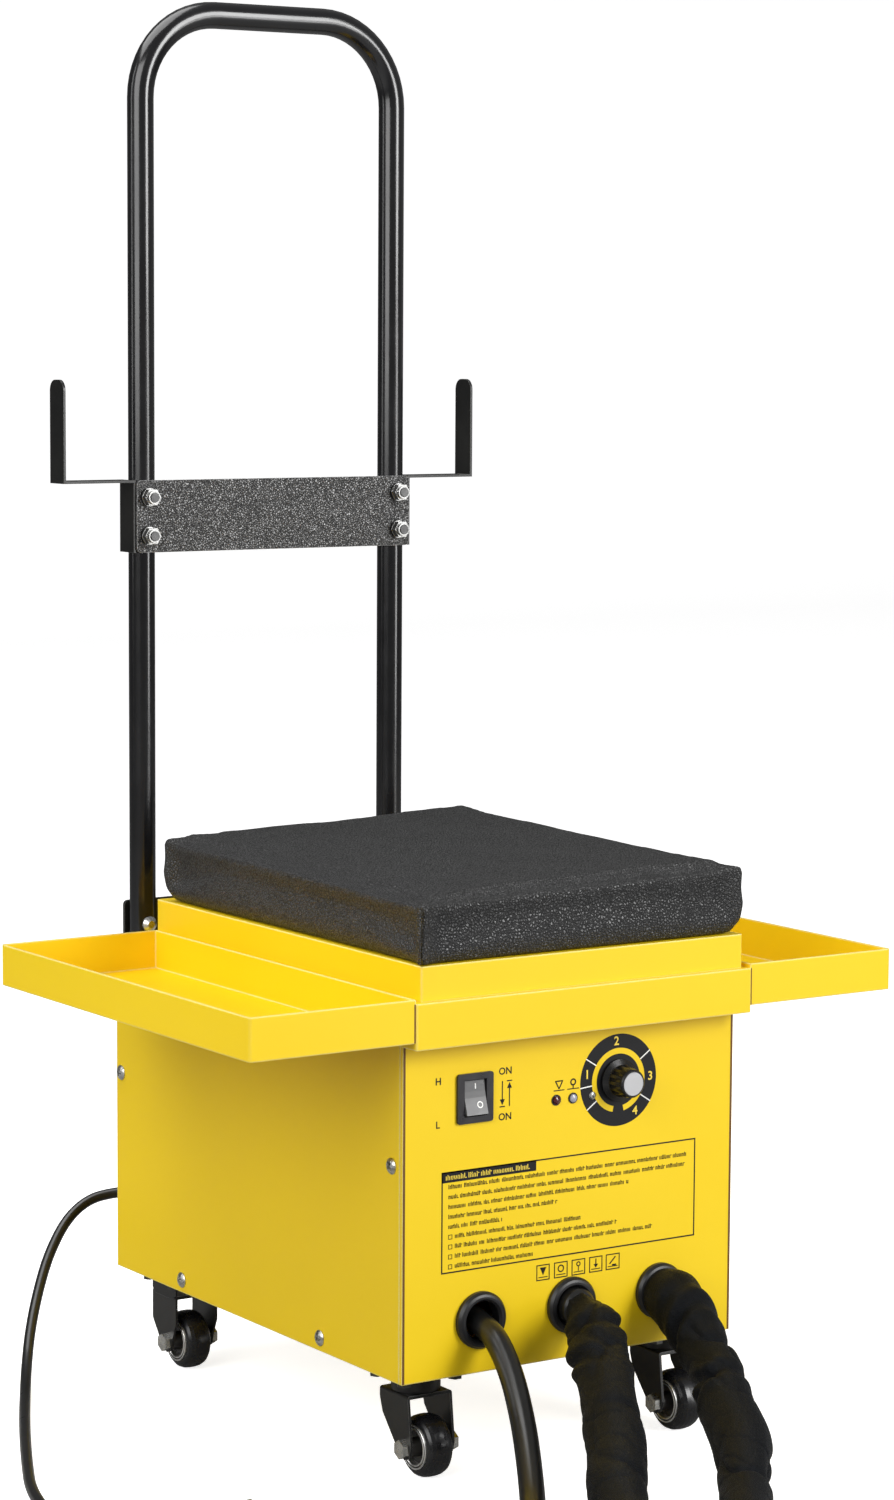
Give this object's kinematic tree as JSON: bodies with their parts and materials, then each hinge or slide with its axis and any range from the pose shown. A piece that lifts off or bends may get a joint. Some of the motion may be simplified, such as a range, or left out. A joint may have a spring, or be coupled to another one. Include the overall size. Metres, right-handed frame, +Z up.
{
  "type": "dent pulling spot welder",
  "caption": "Wheeled spot welder for pulling dents: folded sheet cabinet with padded seat, side trays, tall bent tube handle with cable hooks, swivel casters, gun hoses and an earth cable.",
  "frame": {"origin": "centre of the box round the machine without its cords, on the floor under the wheels", "axes": "+X to the right and +Y to the back as seen from the control panel, +Z up"},
  "size_m": [1.1106, 0.9887, 1.135],
  "materials": {
    "yellow_sheet": "semi gloss",
    "black_leather": "grained",
    "plywood": "raw",
    "black_tube": "gloss",
    "hammered_black": "hammered",
    "black_steel": "satin",
    "zinc": "zinc plated",
    "black_rubber": "matte",
    "hose_sleeve": "woven",
    "tyre_black": "smooth",
    "rim_grey": "satin",
    "black_plastic": "gloss",
    "grey_plastic": "matte",
    "spun_cap": "spun",
    "lamp_lens": "clear",
    "core_iron": "lacquered",
    "winding_copper": "enamelled",
    "board_green": "matte",
    "sink_aluminium": "extruded",
    "gun_plastic": "textured",
    "trigger_red": "satin",
    "chuck_brass": "turned",
    "clamp_steel": "zinc plated"
  },
  "bodies": {
    "cabinet": {"base_plate": "yellow_sheet", "front_panel": "yellow_sheet", "rear_panel": "yellow_sheet", "left_side_panel": "yellow_sheet", "right_side_panel": "yellow_sheet", "top_cover": "yellow_sheet", "left_tray": "yellow_sheet", "right_tray": "yellow_sheet", "seat_box": "yellow_sheet", "seat_cushion": "black_leather", "seat_board": "plywood", "handle_tube": "black_tube", "hanger_plate": "hammered_black", "hook_brackets": "hammered_black", "handle_stay": "hammered_black", "rear_caster_brackets": "black_steel", "front_caster_mounts": "black_steel", "panel_screws": "zinc", "hanger_fasteners": "zinc", "handle_bolts": "zinc", "caster_bolts": "zinc", "rear_axles": "zinc", "grommets": "black_rubber", "earth_cable": "black_rubber", "mains_cord": "black_rubber", "mains_coil": "black_rubber", "gun_hose_a": "hose_sleeve", "gun_hose_b": "hose_sleeve", "rocker_bezel": "black_plastic", "potentiometer": "grey_plastic", "cord_gland": "grey_plastic", "mains_plug": "grey_plastic", "indicator_lamps": "lamp_lens", "transformer_core": "core_iron", "transformer_winding": "winding_copper", "copper_bars": "winding_copper", "control_board": "board_green", "power_module": "sink_aluminium", "gun_bodies": "gun_plastic", "gun_chucks": "chuck_brass", "clamp_fixed_arm": "clamp_steel"},
    "front_left_swivel": {"front_left_fork": "black_steel", "front_left_axle": "zinc"},
    "front_right_swivel": {"front_right_fork": "black_steel", "front_right_axle": "zinc"},
    "front_left_wheel": {"front_left_tyre": "tyre_black", "front_left_rim": "rim_grey"},
    "front_right_wheel": {"front_right_tyre": "tyre_black", "front_right_rim": "rim_grey"},
    "rear_left_wheel": {"rear_left_tyre": "tyre_black", "rear_left_rim": "rim_grey"},
    "rear_right_wheel": {"rear_right_tyre": "tyre_black", "rear_right_rim": "rim_grey"},
    "switch_rocker": {"rocker": "grey_plastic"},
    "power_knob": {"knob": "black_plastic", "knob_cap": "spun_cap", "knob_shaft": "zinc"},
    "gun_a_trigger": {"gun_a_trigger": "trigger_red"},
    "gun_b_trigger": {"gun_b_trigger": "trigger_red"},
    "clamp_jaw": {"clamp_moving_arm": "clamp_steel"}
  },
  "joints": [
    {"name": "front_left_swivel_turn", "type": "hinge", "parent": "cabinet", "child": "front_left_swivel", "pos_m": [-0.118, -0.1902, 0.07], "axis": [0, 0, 1], "continuous": true},
    {"name": "front_left_wheel_spin", "type": "hinge", "parent": "front_left_swivel", "child": "front_left_wheel", "pos_m": [-0.118, -0.2055, 0.024], "axis": [1, 0, 0], "continuous": true},
    {"name": "rear_left_wheel_spin", "type": "hinge", "parent": "cabinet", "child": "rear_left_wheel", "pos_m": [-0.118, 0.16, 0.024], "axis": [1, 0, 0], "continuous": true},
    {"name": "front_right_swivel_turn", "type": "hinge", "parent": "cabinet", "child": "front_right_swivel", "pos_m": [0.118, -0.1902, 0.07], "axis": [0, 0, 1], "continuous": true},
    {"name": "front_right_wheel_spin", "type": "hinge", "parent": "front_right_swivel", "child": "front_right_wheel", "pos_m": [0.118, -0.2055, 0.024], "axis": [1, 0, 0], "continuous": true},
    {"name": "rear_right_wheel_spin", "type": "hinge", "parent": "cabinet", "child": "rear_right_wheel", "pos_m": [0.118, 0.16, 0.024], "axis": [1, 0, 0], "continuous": true},
    {"name": "switch_rock", "type": "hinge", "parent": "cabinet", "child": "switch_rocker", "pos_m": [-0.0903, -0.2272, 0.2922], "axis": [1, 0, 0], "range_deg": [0, 24]},
    {"name": "knob_turn", "type": "hinge", "parent": "cabinet", "child": "power_knob", "pos_m": [0.0433, -0.2262, 0.2918], "axis": [0, 1, 0], "range_deg": [-150, 120]},
    {"name": "gun_a_trigger_pull", "type": "hinge", "parent": "cabinet", "child": "gun_a_trigger", "pos_m": [-0.57793, -0.01281, 0.02], "axis": [0, 0, 1], "range_deg": [0, 7], "stiffness_Nm_per_rad": 0.5, "springref_deg": -2.86},
    {"name": "gun_b_trigger_pull", "type": "hinge", "parent": "cabinet", "child": "gun_b_trigger", "pos_m": [-0.71846, -0.20932, 0.02], "axis": [0, 0, 1], "range_deg": [0, 7], "stiffness_Nm_per_rad": 0.5, "springref_deg": -2.86},
    {"name": "clamp_open", "type": "hinge", "parent": "cabinet", "child": "clamp_jaw", "pos_m": [-0.4644, -0.05238, 0.011], "axis": [0, 0, -1], "range_deg": [0, 15], "stiffness_Nm_per_rad": 2, "springref_deg": -17.19}
  ]
}
